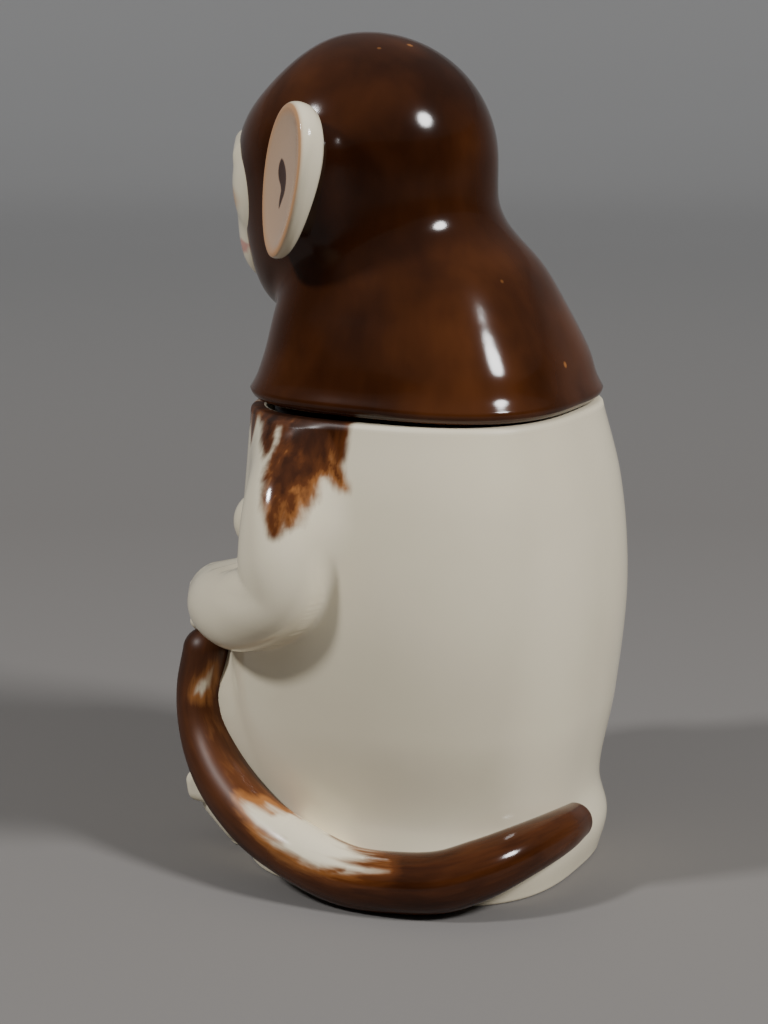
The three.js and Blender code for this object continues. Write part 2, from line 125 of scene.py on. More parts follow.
def smoothMin(a, b, width, power=2):
    # The lesser of two distances, rounded where they are within width of each other:
    # min(a, b) - h^power * width / (2 * power) with h = max(width - |a - b|, 0) / width
    h = np.maximum(width - np.abs(a - b), 0) / width
    return np.minimum(a, b) - h**power * width / (2 * power)


def step(low, high, value):
    # 0 below low, 1 above high, smooth between
    t = np.clip((value - low) / (high - low), 0, 1)
    return t * t * (3 - 2 * t)


def addObject(name, data):
    made = bpy.data.objects.new(name, data)
    bpy.context.collection.objects.link(made)
    return made


def gridMesh(name, rows, poles=(None, None), values=None, ring=False, scaled=toMetres):
    # rows is an array of (row, column, xyz) in millimetres; columns wrap round, a ring's rows wrap
    # too, and poles close the ends. The faces are turned outwards by the sign of the volume inside.
    rowCount, count = rows.shape[:2]
    points = scaled(rows).reshape(-1, 3)
    k = np.arange(count)
    after = (k + 1) % count
    last = (rowCount - 1) * count
    low = np.arange(rowCount - 1)[:, None] * count
    quads = np.stack([low + k, low + after, low + count + after, low + count + k], -1).reshape(-1, 4)
    if ring:
        quads = np.vstack([quads, np.stack([last + k, last + after, after, k], -1)])
    triangles = np.zeros((0, 3), int)
    for pole, fan in zip(poles, ((after, k), (last + k, last + after))):
        if pole is not None:
            tip = np.full(count, len(points))
            points = np.vstack([points, scaled(pole)])
            triangles = np.vstack([triangles, np.stack([tip, *fan], -1)])
    split = np.vstack([quads[:, [0, 1, 2]], quads[:, [0, 2, 3]], triangles])
    a, b, c = (points[split[:, j]] for j in range(3))
    if np.einsum("ij,ij->i", a, np.cross(b, c)).sum() < 0:
        quads, triangles = quads[:, ::-1], triangles[:, ::-1]
    mesh = bpy.data.meshes.new(name)
    mesh.from_pydata(points.tolist(), [], quads.tolist() + triangles.tolist())
    mesh.shade_smooth()
    mesh.validate()
    for key, grid in (values or {}).items():
        flat = np.asarray(grid, float).ravel()
        ends = zip(poles, (flat[:count], flat[-count:]))
        poleValues = [end.mean() for pole, end in ends if pole is not None]
        attribute = mesh.attributes.new(key, "FLOAT", "POINT")
        attribute.data.foreach_set("value", np.concatenate([flat, poleValues]).astype(np.float32))
    return addObject(name, mesh)


def finishPiece(made, material, bodyName, slotName, *nodes):
    made.data.materials.append(material)
    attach(made, bodyName)
    if nodes:
        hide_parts(*nodes)
    print("piece", made.name, "quads", len(made.data.polygons))


# Camera, at the photograph's place and angle

camera = {
    "azimuth": 116.0,
    "distance": 590.0,
    "height": 213.0,
    "downward": 12.0,
    "aside": -10.9,
    "lens": 56.58,
}


def makeCamera():
    turn, tilt = math.radians(camera["azimuth"]), math.radians(camera["downward"])
    right = Vector((math.cos(turn), math.sin(turn), 0))
    back = Vector((math.sin(turn), -math.cos(turn), 0))
    ahead = -back * math.cos(tilt) - Vector((0, 0, math.sin(tilt)))
    up = right.cross(ahead)
    data = bpy.data.cameras.new("camera")
    data.sensor_fit = "VERTICAL"
    data.sensor_height = 24
    data.lens = camera["lens"]
    made = addObject("camera", data)
    place = back * camera["distance"] + right * camera["aside"] + Vector((0, axisDepth, camera["height"]))
    pose = Matrix((right, up, -ahead)).transposed().to_4x4()
    pose.translation = place / 1000
    made.matrix_world = pose
    bpy.context.scene.camera = made


makeCamera()

# Shared effects of the glazes, as node groups


def newGroup(name, inputs, outputs):
    # Gives the group with its inputs and outputs as they are seen from inside
    group = bpy.data.node_groups.new(name, "ShaderNodeTree")
    for label, kind, value in inputs:
        socket = group.interface.new_socket(label, in_out="INPUT", socket_type="NodeSocket" + kind)
        if value is not None:
            socket.default_value = value
    for label in outputs:
        group.interface.new_socket(label, in_out="OUTPUT", socket_type="NodeSocketFloat")
    return group, group.nodes.new("NodeGroupInput").outputs, group.nodes.new("NodeGroupOutput").inputs


def feed(tree, socket, value):
    # Links another node's output, or sets a plain value
    if isinstance(value, bpy.types.NodeSocket):
        tree.links.new(value, socket)
    else:
        socket.default_value = value


def addNode(tree, kind, settings=None, **inputs):
    # One node; inputs are values or sockets by the socket's name, with _ for a space
    node = tree.nodes.new("ShaderNode" + kind)
    for key, value in (settings or {}).items():
        setattr(node, key, value)
    for key, value in inputs.items():
        feed(tree, node.inputs[key.replace("_", " ")], value)
    return node


def placeGroup(tree, group, **inputs):
    return addNode(tree, "Group", {"node_tree": group}, **inputs).outputs


def rampNode(tree, value, stops):
    node = addNode(tree, "ValToRGB", Fac=value)
    elements = node.color_ramp.elements
    while len(elements) < len(stops):
        elements.new(0.5)
    for element, (place, colour) in zip(elements, stops):
        element.position = place
        element.color = colour if isinstance(colour, tuple) else (colour, colour, colour, 1)
    return node.outputs["Color"]


def mixColour(tree, factor, a, b):
    node = addNode(tree, "Mix", {"data_type": "RGBA"})
    for k, value in ((0, factor), (6, a), (7, b)):
        feed(tree, node.inputs[k], value)
    return node.outputs[2]


def mathNode(tree, operation, a, b):
    node = addNode(tree, "Math", {"operation": operation})
    feed(tree, node.inputs[0], a)
    feed(tree, node.inputs[1], b)
    return node.outputs[0]


def times(tree, a, b):
    return mathNode(tree, "MULTIPLY", a, b)


def plus(tree, a, b):
    return mathNode(tree, "ADD", a, b)


def fade(tree, value, low, high, start=0.0, end=1.0, curve="SMOOTHSTEP"):
    # Start at low and short of it, end at high and past it, and a soft or even change between
    return addNode(
        tree, "MapRange", {"interpolation_type": curve}, Value=value,
        From_Min=low, From_Max=high, To_Min=start, To_Max=end,
    ).outputs["Result"]


def noise(tree, place, scale, **settings):
    return addNode(tree, "TexNoise", Vector=place, Scale=scale, **settings).outputs["Fac"]


def makeGlazeSurface():
    # Slow waves of a poured glaze and its fine ripple, as a height and a slight mottle
    group, given, out = newGroup(
        "glazeSurface", [("Place", "Vector", None), ("Waves", "Float", 60.0), ("Ripple", "Float", 420.0)],
        ["Height", "Mottle"],
    )
    wave = noise(group, given["Place"], given["Waves"], Detail=2.0)
    fine = noise(group, given["Place"], given["Ripple"], Detail=1.0)
    group.links.new(plus(group, wave, times(group, fine, 0.12)), out["Height"])
    cloud = noise(group, given["Place"], 22.0, Detail=4.0, Roughness=0.6)
    group.links.new(cloud, out["Mottle"])
    return group


def makeBrushMarks():
    # Brown enamel laid on with a broad brush: long streaks over slower patches, thin or thick
    group, given, out = newGroup(
        "brushMarks", [("Stroke", "Vector", None), ("Place", "Vector", None), ("Streak Scale", "Float", 1.0)],
        ["Thinness", "Streaks"],
    )
    streak = noise(group, given["Stroke"], given["Streak Scale"], Detail=3.0, Distortion=0.3)
    patch = noise(group, given["Place"], 26.0, Detail=3.0)
    group.links.new(plus(group, times(group, streak, 0.28), times(group, patch, 0.72)), out["Thinness"])
    group.links.new(streak, out["Streaks"])
    return group


def makeFeatheredEdge():
    # A painted edge: the distance to it in millimetres, roughened by streaks into hairs
    group, given, out = newGroup(
        "featheredEdge",
        [("Distance", "Float", 0.0), ("Streaks", "Float", 0.5), ("Reach", "Float", 2.0),
         ("Softness", "Float", 0.4), ("Thinning", "Float", 3.0)],
        ["Mask", "Thin"],
    )
    lean = times(group, plus(group, given["Streaks"], -0.5), given["Reach"])
    moved = plus(group, given["Distance"], lean)
    group.links.new(fade(group, moved, 0.0, given["Softness"], 1.0, 0.0), out["Mask"])
    thinFrom = times(group, given["Thinning"], -1.0)
    group.links.new(fade(group, moved, thinFrom, 0.0, curve="LINEAR"), out["Thin"])
    return group


def makeSpecks():
    # Rare pin-sized spots: places within a small radius of the chosen few centres of a cell noise
    group, given, out = newGroup(
        "specks",
        [("Place", "Vector", None), ("Scale", "Float", 34.0), ("Rarity", "Float", 0.9),
         ("Size", "Float", 0.022)],
        ["Mask"],
    )
    cells = addNode(group, "TexVoronoi", Vector=given["Place"], Scale=given["Scale"])
    core = times(group, given["Size"], 0.5)
    spot = fade(group, cells.outputs["Distance"], given["Size"], core, curve="LINEAR")
    lot = addNode(group, "SeparateColor", Color=cells.outputs["Color"]).outputs[0]
    chosen = mathNode(group, "GREATER_THAN", lot, given["Rarity"])
    group.links.new(times(group, spot, chosen), out["Mask"])
    return group


glazeSurface = makeGlazeSurface()
brushMarks = makeBrushMarks()
featheredEdge = makeFeatheredEdge()
specks = makeSpecks()

glaze = {
    "white": (0.85, 0.766, 0.575, 1),
    "whiteShade": (0.74, 0.655, 0.475, 1),
    "speck": (0.30, 0.18, 0.09, 1),
    "brownDark": (0.024, 0.0066, 0.0019, 1),
    "brown": (0.047, 0.0132, 0.0036, 1),
    "brownThin": (0.112, 0.033, 0.0085, 1),
    "amber": (0.36, 0.14, 0.038, 1),
    "flesh": (0.55, 0.375, 0.255, 1),
    "fleshEdge": (0.60, 0.33, 0.165, 1),
    "pink": (0.62, 0.27, 0.23, 1),
    "ink": (0.075, 0.024, 0.026, 1),
    "roughness": 0.12,
    "refraction": 1.5,
    "waviness": 0.00022,
    "waveStrength": 0.35,
    "mottling": 0.35,
}


def newMaterial(name):
    material = bpy.data.materials.new(name)
    material.use_nodes = True
    tree = material.node_tree
    place = tree.nodes.new("ShaderNodeTexCoord").outputs["Object"]
    return material, tree, tree.nodes["Principled BSDF"], place


def newGlaze(name, paint, roughness=glaze["roughness"], shine=0.5):
    # A glazed material with waves in its surface. What paint makes from the tree, the place and
    # the mottled white goes to the shader's inputs of the same names.
    material, tree, shader, place = newMaterial(name)
    for label, value in (
        ("Roughness", roughness), ("IOR", glaze["refraction"]), ("Specular IOR Level", shine),
    ):
        shader.inputs[label].default_value = value
    surface = placeGroup(tree, glazeSurface, Place=place)
    bump = addNode(
        tree, "Bump", Height=surface["Height"], Strength=glaze["waveStrength"], Distance=glaze["waviness"],
    )
    tree.links.new(bump.outputs["Normal"], shader.inputs["Normal"])
    tint = rampNode(tree, surface["Mottle"], [(0.3, glaze["whiteShade"]), (0.62, glaze["white"])])
    white = mixColour(tree, glaze["mottling"], glaze["white"], tint)
    for label, value in paint(tree, place, white).items():
        tree.links.new(value, shader.inputs[label])
    return material


def attributeValue(tree, name):
    return addNode(tree, "Attribute", {"attribute_name": name}).outputs["Fac"]


def stretched(tree, place, scale, turn):
    return addNode(tree, "Mapping", Vector=place, Scale=scale, Rotation=turn).outputs["Vector"]


def brownColour(tree, thinness):
    # Near black where the enamel is thick and amber where it is thin
    return rampNode(tree, thinness, [
        (0.36, glaze["brownDark"]), (0.49, glaze["brown"]),
        (0.74, glaze["brownThin"]), (0.95, glaze["amber"]),
    ])


# Jar body with its arms and legs

bodyLine = smoothPath(body["outline"], 160)


def ovalReach(bearing, halfWidth, halfDepth, power):
    # Radius of a superellipse: (|cos / half width|^n + |sin / half depth|^n)^(-1 / n)
    across = np.abs(np.cos(bearing) / halfWidth) ** power
    return (across + np.abs(np.sin(bearing) / halfDepth) ** power) ** (-1 / power)


def bodyReach(bearing, height):
    back = np.interp(height, bodyLine[:, 2], bodyLine[:, 0])
    front = np.interp(height, bodyLine[:, 2], bodyLine[:, 1])
    depth = np.where(np.sin(bearing) > 0, back, front)
    return ovalReach(bearing, back * body["widthShare"], depth, body["squareness"])


def around(bearing, height, out, side=1):
    angle = math.radians(bearing)
    radius = float(bodyReach(angle, height)) + out
    return [radius * math.cos(angle) * side, radius * math.sin(angle), height]


def chain(stations, count=12):
    # A limb's centre line with its radius in the fourth column
    return smoothPath([list(at) + [radius] for at, radius in stations], count)


def chainDistance(points, line):
    # Least distance to the tapered segments: |p - nearest point| - radius there
    best = np.full(len(points), 1e9)
    for a, b in zip(line[:-1], line[1:]):
        run = b[:3] - a[:3]
        share = np.clip((points - a[:3]) @ run / (run @ run + 1e-9), 0, 1)
        apart = points - a[:3] - share[:, None] * run
        best = np.minimum(best, np.sqrt((apart * apart).sum(1)) - a[3] - share * (b[3] - a[3]))
    return best


limbs = {
    "upperArmRadius": 11.6,
    "forearmRadius": 10.2,
    "handRadius": 8.8,
    "fingerShare": 0.29,
    "fingerGap": 1.75,
    # far, out and thick, as shares, at a finger's root, middle and tip
    "finger": [(0, 0, 1), (0.8, 0.25, 1), (1.25, 0.85, 0.85)],
    "thighRadius": 11.5,
    "shinRadius": 8.4,
    "heelRadius": 7.6,
    "toeRadius": 2.9,
    # bearing, height and distance out of the body
    "elbow": (-19.5, 75.6, 1.8),
    "leftHand": (-50.2, 69.0, 2.9),
    "rightHand": (-90, 81, 4),
    # widths of the joins in a limb, round its small parts, and to the body below and above the
    # two levels of the shoulder
    "join": 3.0,
    "smallJoin": 1.0,
    "armJoin": (2.2, 8.0),
    "legJoin": (3.5, 3.5),
    "shoulderLevels": (74, 94),
}
fourAbreast = (-1.5, -0.5, 0.5, 1.5)


def fingerLines(hand, heading, reach, droop):
    lines = []
    radius = limbs["handRadius"] * limbs["fingerShare"]
    ahead, aside = math.cos(heading), math.sin(heading)
    for row in fourAbreast:
        level = hand[2] + row * radius * limbs["fingerGap"]
        stations = []
        for far, out, size in limbs["finger"]:
            x = hand[0] + reach * (far * ahead - out * aside)
            y = hand[1] + reach * (far * aside + out * ahead)
            stations.append(((x, y, level - droop * far), radius * size))
        lines.append(chain(stations, 5))
    return lines


def makeArm(side):
    # Stations of the left arm, which lies along the tail's end, or of the right one on the chest
    upper, fore, hand = limbs["upperArmRadius"], limbs["forearmRadius"], limbs["handRadius"]
    arm = [
        (around(-28, 105, -5, side), upper * 0.72), (around(-22, 96, -0.7, side), upper * 0.9),
        (around(-19, 84, 1.6, side), upper * 0.96), (around(*limbs["elbow"], side), upper * 0.88),
    ]
    if side == 1:
        palm = around(*limbs["leftHand"])
        arm += [(around(-30, 70, 3.6), fore), (around(-41, 69, 3.4), fore * 0.94), (palm, hand)]
        fingers = fingerLines(np.array(palm) - (0, 0, 1.5), heading=math.pi * 1.22, reach=6, droop=3.2)
    else:
        palm = around(*limbs["rightHand"])
        arm += [(around(-36, 74.2, 4, -1), fore), (around(-62, 78, 4, -1), fore * 0.9), (palm, hand * 0.92)]
        fingers = fingerLines(palm, heading=-0.25, reach=5, droop=0)
    return {"lines": [chain(arm, 80)], "small": fingers, "bodyJoin": limbs["armJoin"]}


def makeLeg(side):
    thigh, shin, heel, toe = (limbs[part + "Radius"] for part in ("thigh", "shin", "heel", "toe"))
    knee = (around(-68, 50, 2.3, side), thigh * 0.84)
    upperLeg = chain([(around(-54, 24, -8, side), thigh), (around(-62, 42, -2.8, side), thigh), knee])
    lowerLeg = chain([knee, (around(-70, 37.8, 2.8, side), shin), (around(-70, 16, 1.4, side), shin * 0.9)])
    ball = around(-74, heel + 2.6, 7.5, side)
    small = [chain([(around(-68, heel - 0.5, 0.5, side), heel), (ball, heel * 0.84)], 5)]
    for place in fourAbreast:
        x = ball[0] + place * toe * 1.25
        y = ball[1] - heel * (0.72 - 0.06 * abs(place))
        z = ball[2] + toe * 1.3
        small.append(np.array([(x, y, z - 1.2, toe), (x, y - 0.6, z + 1.4, toe * 0.95)]))
    return {"lines": [upperLeg, lowerLeg], "small": small, "bodyJoin": limbs["legJoin"]}


bodyLimbs = [make(side) for side in (1, -1) for make in (makeArm, makeLeg)]

tail = {
    "radius": 7.4,
    "tipRadius": 4.7,
    "sections": 400,
    "sides": 96,
    # how deep the jar's own skin stays under the tail's
    "bed": 0.6,
    # how far the brown reaches over the edge of the white
    "brownOver": 0.7,
    # scales of the brush's streaks along the tail and round it
    "streakRun": 0.09,
    "streakRound": 4.0,
    "edgeThinning": 0.26,
    # run along the tail over which the upper end's paint changes
    "upperEnd": (78.0, 96.0),
    "innerThinning": 0.24,
    "innerFrom": -0.1,
    "upperDullness": 0.3,
    "tableGap": 0.05,
}


def tailLine(count):
    # Bearing, height, distance out of the body and radius from the tip to the end under the hand
    r = tail["radius"]
    stations = [
        (83, 14.5, 0, tail["tipRadius"]), (69, 15, 1.2, r * 0.74), (53, 14, 2.2, r * 0.86),
        (40, r + 3.9, 3, r * 0.97), (29, r + 1.1, 3.6, r), (16, r + 0.05, 4.2, r), (1, r + 0.1, 4.5, r),
        (-14, r + 3.8, 5, r), (-30.5, 16, 5.5, r * 0.98), (-46, 24.5, 6.6, r * 0.95),
        (-54.5, 33.5, 7, r * 0.93), (-57.5, 43.5, 7, r * 0.89), (-57, 53.9, 6.4, r * 0.78),
    ]
    return evenPath([around(a, h, out) + [radius] for a, h, out, radius in stations], count)


tailCore = tailLine(60)[0]


def bodyField(points):
    bearing = np.arctan2(points[:, 1], points[:, 0])
    best = np.hypot(points[:, 0], points[:, 1]) - bodyReach(bearing, points[:, 2])
    rise = step(*limbs["shoulderLevels"], points[:, 2])
    for limb in bodyLimbs:
        near = chainDistance(points, limb["lines"][0])
        for line in limb["lines"][1:]:
            near = smoothMin(near, chainDistance(points, line), limbs["join"])
        for line in limb["small"]:
            near = smoothMin(near, chainDistance(points, line), limbs["smallJoin"])
        low, high = limb["bodyJoin"]
        best = smoothMin(best, near, low + (high - low) * rise)
    # Nothing but the tail shows where the tail is
    return np.maximum(best, -chainDistance(points, tailCore) - tail["bed"])


def meetSurface(origins, directions, start, field, steps=80, stride=0.85, near=0.004, span=(1.0, np.inf)):
    # Moves a point along each ray by a share of the field's value, until it meets the surface
    o, d = np.broadcast_to(origins, directions.shape).reshape(-1, 3), directions.reshape(-1, 3)
    reach = np.broadcast_to(start, directions.shape[:-1]).astype(float).ravel()
    live = np.arange(len(reach))
    for _ in range(steps):
        value = field(o[live] + d[live] * reach[live, None])
        reach[live] = np.clip(reach[live] - stride * value, *span)
        live = live[np.abs(value) > near]
        if not len(live):
            break
    return (o + d * reach[:, None]).reshape(directions.shape)


def ringAt(bearings, reach, height):
    ring = np.broadcast_arrays(reach * np.cos(bearings), reach * np.sin(bearings), height)
    return np.stack(ring, -1)


def bodySkin():
    # Rows of points on the outside, closer together where the hands are and over the front
    low, high = body["frontSpan"]
    front = np.linspace(low, high, body["frontColumns"] // coarser, endpoint=False)
    back = np.linspace(high, low + 360, body["backColumns"] // coarser, endpoint=False)
    bearings = np.radians(np.concatenate([front, back]))
    top = body["rimHeight"] - body["rimRounding"]
    ends = [level for level, _ in body["rows"][1:]] + [top]
    heights = np.concatenate([
        np.linspace(low, high, int((high - low) / (apart * coarser)), endpoint=high == top)
        for (low, apart), high in zip(body["rows"], ends)
    ])[:, None]
    reach = bodyReach(bearings, heights)
    skin = ringAt(bearings, reach, heights)
    limbed = np.sin(bearings) < body["limbedBelow"]
    outward = ringAt(bearings[limbed], np.ones((len(heights), 1)), 0.0)
    axis = np.broadcast_to(heights[..., None] * (0, 0, 1), outward.shape)
    skin[:, limbed] = meetSurface(axis, outward, reach[:, limbed] + body["limbsOut"], bodyField, 180)
    return bearings, skin


unpainted = 50.0  # distance to a brush stroke where there is none near
furReach = 44.0  # reach of the shoulder that the fur's strokes are measured at


def furStrokes(x, y, strokes):
    # Signed distance to a bundle of tapering strokes: distance to the line less its width there,
    # which falls from full at the start to nothing at the tip
    best = np.full(np.shape(x), unpainted)
    for x0, y0, x1, y1, width in strokes:
        dx, dy = x1 - x0, y1 - y0
        share = np.clip(((x - x0) * dx + (y - y0) * dy) / (dx * dx + dy * dy), 0, 1)
        apart = np.hypot(x - x0 - share * dx, y - y0 - share * dy)
        best = np.minimum(best, apart - width * (1 - share**1.6))
    return best


# Strokes of the brown fur that runs down from the shoulder on to the arm: bearing and height of
# the root, bearing and height of the tip, and width
shoulderFur = [
    (-48, 118, -45.5, 108.5, 2.6), (-35.5, 118, -26.5, 108.4, 2.6), (-23.5, 118, -21.5, 109, 2.0),
    (-19.5, 117, -16.6, 103, 3.4), (-14.5, 118, -12.2, 102, 5.2), (-10, 118, -6.5, 106.5, 2.8),
    (-21.5, 110, -20.6, 103.8, 1.3), (-18.3, 108, -16.8, 97.0, 1.9), (-16.6, 106, -13.9, 97.0, 3.0),
    (-13.6, 108, -10.4, 98.0, 2.5), (-15.6, 99, -13.6, 92.0, 1.2), (-12.5, 100, -11.2, 93.8, 1.0),
    (-10.5, 110, -8.4, 104.5, 1.8), (-8.0, 107, -1.6, 101.4, 0.9), (-58, 118, -56, 109, 3.0),
    (-68, 118, -67, 111, 2.6), (-52, 118, -51, 112.5, 2.4), (-77, 118, -77.5, 112.5, 2.4),
    (-86, 118, -86, 113.5, 2.0), (-7.0, 118, -5.2, 106.5, 2.3), (-34, 118, -33, 113, 2.0),
    (-30, 118, -54, 117, 3.4), (-32, 118, -10, 117, 3.4),
]


def inkLines(points):
    # Distance to the thin painted lines between the fingers and between the toes
    best = np.full(len(points), unpainted)
    for limb in bodyLimbs:
        tips = [line for line in limb["small"] if line[-1][3] < limbs["toeRadius"] * 1.01]
        for line, other in zip(tips[:-1], tips[1:]):
            between = (line[-2:, :3] + other[-2:, :3]) / 2
            axis = between[1] - between[0]
            share = np.clip((points - between[0]) @ axis / (axis @ axis), 0, 1.8)
            apart = points - between[0] - share[:, None] * axis
            across = other[-1, :3] - line[-1, :3]
            across = across / np.linalg.norm(across)
            near = np.linalg.norm(apart, axis=1) < line[-1][3] * 1.6
            best = np.where(near, np.minimum(best, np.abs(apart @ across)), best)
    return best


def quarterRound(share):
    # How far over and how far up a quarter of a round has come at a share of its turn
    return 1 - math.cos(share * math.pi / 2), math.sin(share * math.pi / 2)


def bodyPiece():
    bearings, skin = bodySkin()
    rim, rounding, wall = body["rimHeight"], body["rimRounding"], body["wall"]
    floorAt, fillet, ringHeight = body["floorHeight"], body["floorFillet"], body["footRingHeight"]
    footDepth = body["footHalfDepth"]
    recess = bodyReach(bearings, 0) * (footDepth - body["footRingWidth"]) / footDepth
    rows = [(recess + out, ringHeight - down) for out, down in body["footRingRows"]]
    foot = np.hypot(skin[0, :, 0], skin[0, :, 1])
    rows += [(foot - 1 + up, over) for over, up in map(quarterRound, (0.0, 0.35, 0.7))]
    under = [ringAt(bearings, reach, height) for reach, height in rows]
    edge = bodyReach(bearings, rim - rounding)
    rounds = map(quarterRound, (0.33, 0.66, 1.0))
    rows = [(edge - rounding * over, rim - rounding * (1 - up)) for over, up in rounds]
    rounds = map(quarterRound, (0.0, 0.4, 0.7, 1.0))
    rows += [(edge - wall + rounding * (1 - up), rim - rounding * over) for over, up in rounds]
    levels = np.linspace(rim - body["innerStart"], floorAt + fillet, body["innerRows"])
    rows += [(bodyReach(bearings, level) - wall, level) for level in levels]
    low = rows[-1][0]
    rounds = map(quarterRound, (0.25, 0.5, 0.75, 1.0))
    rows += [(low - fillet * over, floorAt + fillet - fillet * up) for over, up in rounds]
    rows.append((low * 0.5, floorAt))
    inside = [ringAt(bearings, reach, height) for reach, height in rows]
    points = np.concatenate([under, skin, inside])
    # The brown is painted on the outside only, and mirrored to the jar's other side
    turn = np.arctan2(points[..., 1], points[..., 0])
    outside = np.hypot(points[..., 0], points[..., 1]) > bodyReach(turn, points[..., 2]) - 0.8 * wall
    degree = math.radians(1) * furReach
    strokes = [(a * degree, b, c * degree, d, width) for a, b, c, d, width in shoulderFur]
    degrees = np.degrees(turn)
    fur = [furStrokes(b * degree, points[..., 2], strokes) for b in (degrees, -degrees - 180, 180 - degrees)]
    fur = np.where(outside, np.minimum.reduce(fur), unpainted)
    ink = inkLines(points.reshape(-1, 3))
    return gridMesh("jar_skin", points, ((0, 0, ringHeight), (0, 0, floorAt)), {"fur": fur, "ink": ink})


def bodyPaint(tree, place, white):
    stroke = stretched(tree, place, scale=(420, 420, 62), turn=(0, 0.35, 0))
    marks = placeGroup(tree, brushMarks, Stroke=stroke, Place=place)
    edge = placeGroup(
        tree, featheredEdge, Distance=attributeValue(tree, "fur"), Streaks=marks["Streaks"],
        Reach=2.6, Softness=2.6, Thinning=1.7,
    )
    thinness = plus(tree, marks["Thinness"], times(tree, edge["Thin"], body["furThinning"]))
    brown = brownColour(tree, plus(tree, thinness, -body["furDarker"]))
    dots = placeGroup(tree, specks, Place=place, Rarity=0.93, Size=0.02)
    dotted = mixColour(tree, times(tree, dots["Mask"], body["speckStrength"]), white, glaze["speck"])
    colour = mixColour(tree, edge["Mask"], dotted, brown)
    inked = fade(tree, attributeValue(tree, "ink"), *body["inkEdge"])
    colour = mixColour(tree, times(tree, inked, body["inkStrength"]), colour, glaze["ink"])
    # The rim that the lid stands on was wiped before firing, so it is duller
    height = addNode(tree, "SeparateXYZ", Vector=place).outputs["Z"]
    low, high = ((body["rimHeight"] - below) / 1000 for below in body["wiped"])
    wiped = fade(tree, height, low, high, glaze["roughness"], body["wipedRoughness"])
    return {"Base Color": colour, "Roughness": wiped}


finishPiece(
    bodyPiece(), newGlaze("white_porcelain", bodyPaint), "jar", "white_glaze",
    "jar_body", "left_arm", "right_arm", "left_leg", "right_leg", "left_foot", "right_foot",
)

# Tail


def tubeSkin(line, along, sides):
    # Round sections across a centre line, with the sides counted from straight out of the jar:
    # point = centre + radius * (cos * outward + sin * downward), domed at both ends
    centre, radius = line[:, :3], line[:, 3]
    ahead = np.gradient(centre, axis=0)
    ahead /= np.linalg.norm(ahead, axis=1, keepdims=True)
    outward = centre * (1, 1, 0)
    outward -= (outward * ahead).sum(1, keepdims=True) * ahead
    outward /= np.linalg.norm(outward, axis=1, keepdims=True)
    downward = np.cross(outward, ahead)
    turns = np.linspace(0, 2 * np.pi, sides, endpoint=False)
    dome = np.linspace(0.12, 0.92, 8) * np.pi / 2
    row = np.pad(np.arange(len(centre)), len(dome), mode="edge")
    shift = np.concatenate([-np.cos(dome), np.zeros(len(centre)), np.cos(dome[::-1])]) * radius[row]
    reach = np.concatenate([np.sin(dome), np.ones(len(centre)), np.sin(dome[::-1])]) * radius[row]
    middle = centre[row] + ahead[row] * shift[:, None]
    spokes = np.cos(turns)[:, None] * outward[row, None] + np.sin(turns)[:, None] * downward[row, None]
    poles = centre[0] - ahead[0] * radius[0], centre[-1] + ahead[-1] * radius[-1]
    return middle[:, None] + reach[:, None, None] * spokes, along[row] + shift, turns, poles


# White left bare on the tail, and brown strokes over it: run along the tail from the tip's end and
# arc across it from straight outwards (upwards is negative) at the root and at the tip, and width
bareTail = [
    (86, -5.4, 57, -5.2, 2.9), (88, -8.0, 58, -8.6, 4.6), (87, -11.0, 60, -10.8, 3.6),
    (84, -13.8, 64, -14.2, 3.2), (79, -4.8, 63, -4.2, 2.4), (86, -7.2, 102, -7.4, 4.3),
    (86, -10.0, 97, -11.2, 2.8), (86, -4.8, 92.5, -3.8, 1.9), (87, -17.0, 61, -17.6, 3.4),
    (141, -11.6, 136.2, -10.8, 1.8), (141, -12.4, 146, -13.8, 1.2), (140, -10.6, 137, -8.8, 1.2),
]
strokedTail = [
    (58, -13.2, 77, -14.0, 1.3), (57, -10.4, 70, -11.4, 1.2), (54, -7.6, 63, -8.4, 1.2),
    (96, -3.0, 85, -4.6, 0.8), (104, -9.2, 92, -9.6, 0.8), (104, -12.4, 90, -12.6, 1.3),
    (74, -2.2, 68, -4.2, 0.7),
]


def tailPiece():
    line, along = tailLine(tail["sections"])
    rings, run, turns, poles = tubeSkin(line, along, tail["sides"])
    rings[..., 2] = np.maximum(rings[..., 2], tail["tableGap"])
    runGrid = np.broadcast_to(run[:, None], rings.shape[:2])
    roundGrid = np.broadcast_to(turns[None, :], rings.shape[:2])
    arc = (np.mod(roundGrid + np.pi, 2 * np.pi) - np.pi) * tail["radius"]
    bare = furStrokes(runGrid, arc, bareTail)
    stroked = furStrokes(runGrid, arc, strokedTail)
    print("tail length", round(float(along[-1]), 1))
    return gridMesh("tail_skin", rings, poles, {
        "run": runGrid, "cosRound": np.cos(roundGrid), "sinRound": np.sin(roundGrid),
        "brown": tail["brownOver"] - np.maximum(bare, -stroked),
    })


